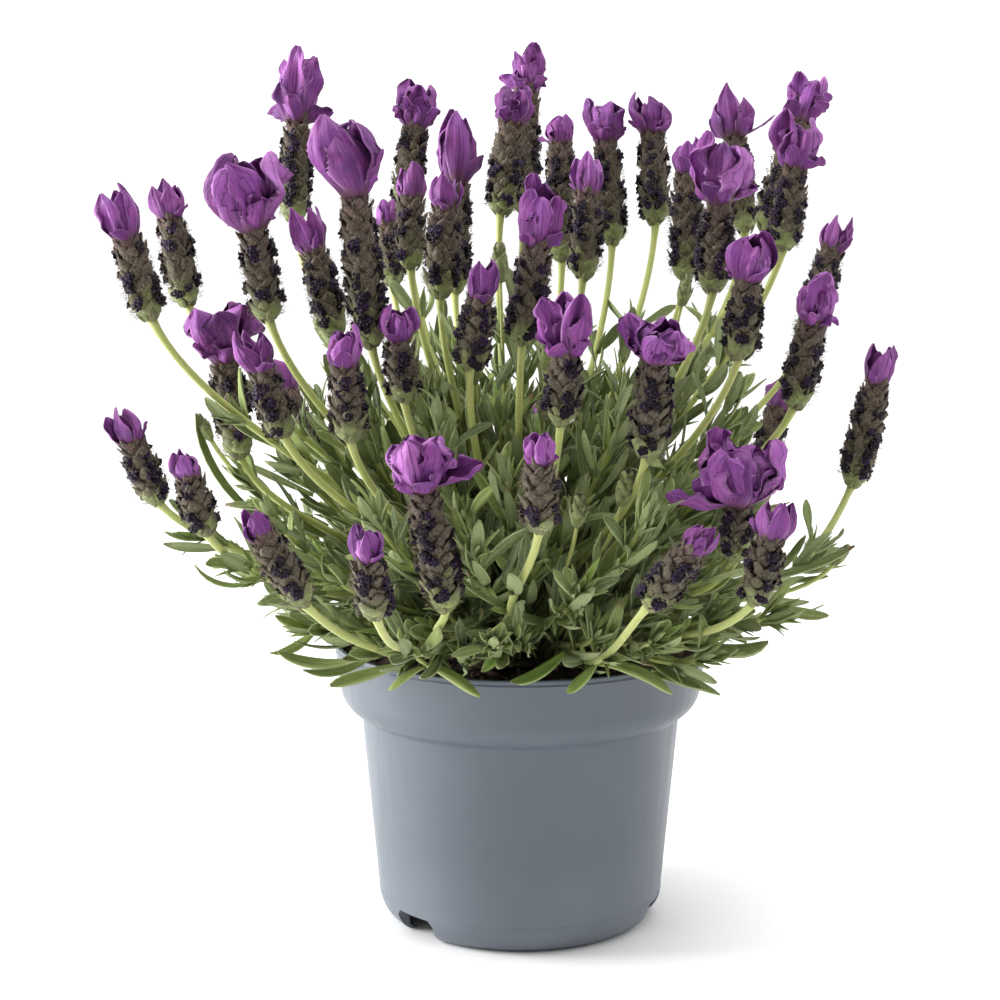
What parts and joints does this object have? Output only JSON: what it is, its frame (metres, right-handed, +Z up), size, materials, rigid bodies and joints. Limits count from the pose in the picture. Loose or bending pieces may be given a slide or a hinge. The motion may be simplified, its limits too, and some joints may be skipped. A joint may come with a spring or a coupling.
{
  "type": "potted lavender",
  "caption": "Butterfly lavender in a grey plastic grower's pot: a dome of flowering stems with dark spikes and purple tufts over leafy shoots that rise from potting soil",
  "frame": {"origin": "on the pot's axis, on the surface that the pot stands on", "axes": "+Z up, -Y towards the side that faces the viewer, +X to that viewer's right"},
  "size_m": [0.3029, 0.3253, 0.3523],
  "materials": {
    "pot_plastic": "satin moulded polypropylene, bluish grey",
    "soil": "damp dark peat and bark crumbs",
    "woody_stem": "rough bark of old lavender stems",
    "flower": "woolly brown spikes, thin veined purple bracts and downy green stalks",
    "leaf": "grey-green felted leaves with paler rolled edges"
  },
  "bodies": {
    "root": {"pot": "pot_plastic", "potting_soil": "soil", "woody_crown": "woody_stem", "flowering_stem_01": "flower", "flowering_stem_02": "flower", "flowering_stem_03": "flower", "flowering_stem_04": "flower", "flowering_stem_05": "flower", "flowering_stem_06": "flower", "flowering_stem_07": "flower", "flowering_stem_08": "flower", "flowering_stem_09": "flower", "flowering_stem_10": "flower", "flowering_stem_11": "flower", "flowering_stem_12": "flower", "flowering_stem_13": "flower", "flowering_stem_14": "flower", "flowering_stem_15": "flower", "flowering_stem_16": "flower", "flowering_stem_17": "flower", "flowering_stem_18": "flower", "flowering_stem_19": "flower", "flowering_stem_20": "flower", "flowering_stem_21": "flower", "flowering_stem_22": "flower", "flowering_stem_23": "flower", "flowering_stem_24": "flower", "flowering_stem_25": "flower", "flowering_stem_26": "flower", "flowering_stem_27": "flower", "flowering_stem_28": "flower", "flowering_stem_29": "flower", "flowering_stem_30": "flower", "flowering_stem_31": "flower", "flowering_stem_32": "flower", "flowering_stem_33": "flower", "flowering_stem_34": "flower", "flowering_stem_35": "flower", "flowering_stem_36": "flower", "flowering_stem_37": "flower", "flowering_stem_38": "flower", "flowering_stem_39": "flower", "flowering_stem_40": "flower", "flowering_stem_41": "flower", "flowering_stem_42": "flower", "flowering_stem_43": "flower", "flowering_stem_44": "flower", "flowering_stem_45": "flower", "flowering_stem_46": "flower", "flowering_stem_47": "flower", "flowering_stem_48": "flower", "leafy_shoot_01": "leaf", "leafy_shoot_02": "leaf", "leafy_shoot_03": "leaf", "leafy_shoot_04": "leaf", "leafy_shoot_05": "leaf", "leafy_shoot_06": "leaf", "leafy_shoot_07": "leaf", "leafy_shoot_08": "leaf", "leafy_shoot_09": "leaf"}
  },
  "joints": []
}
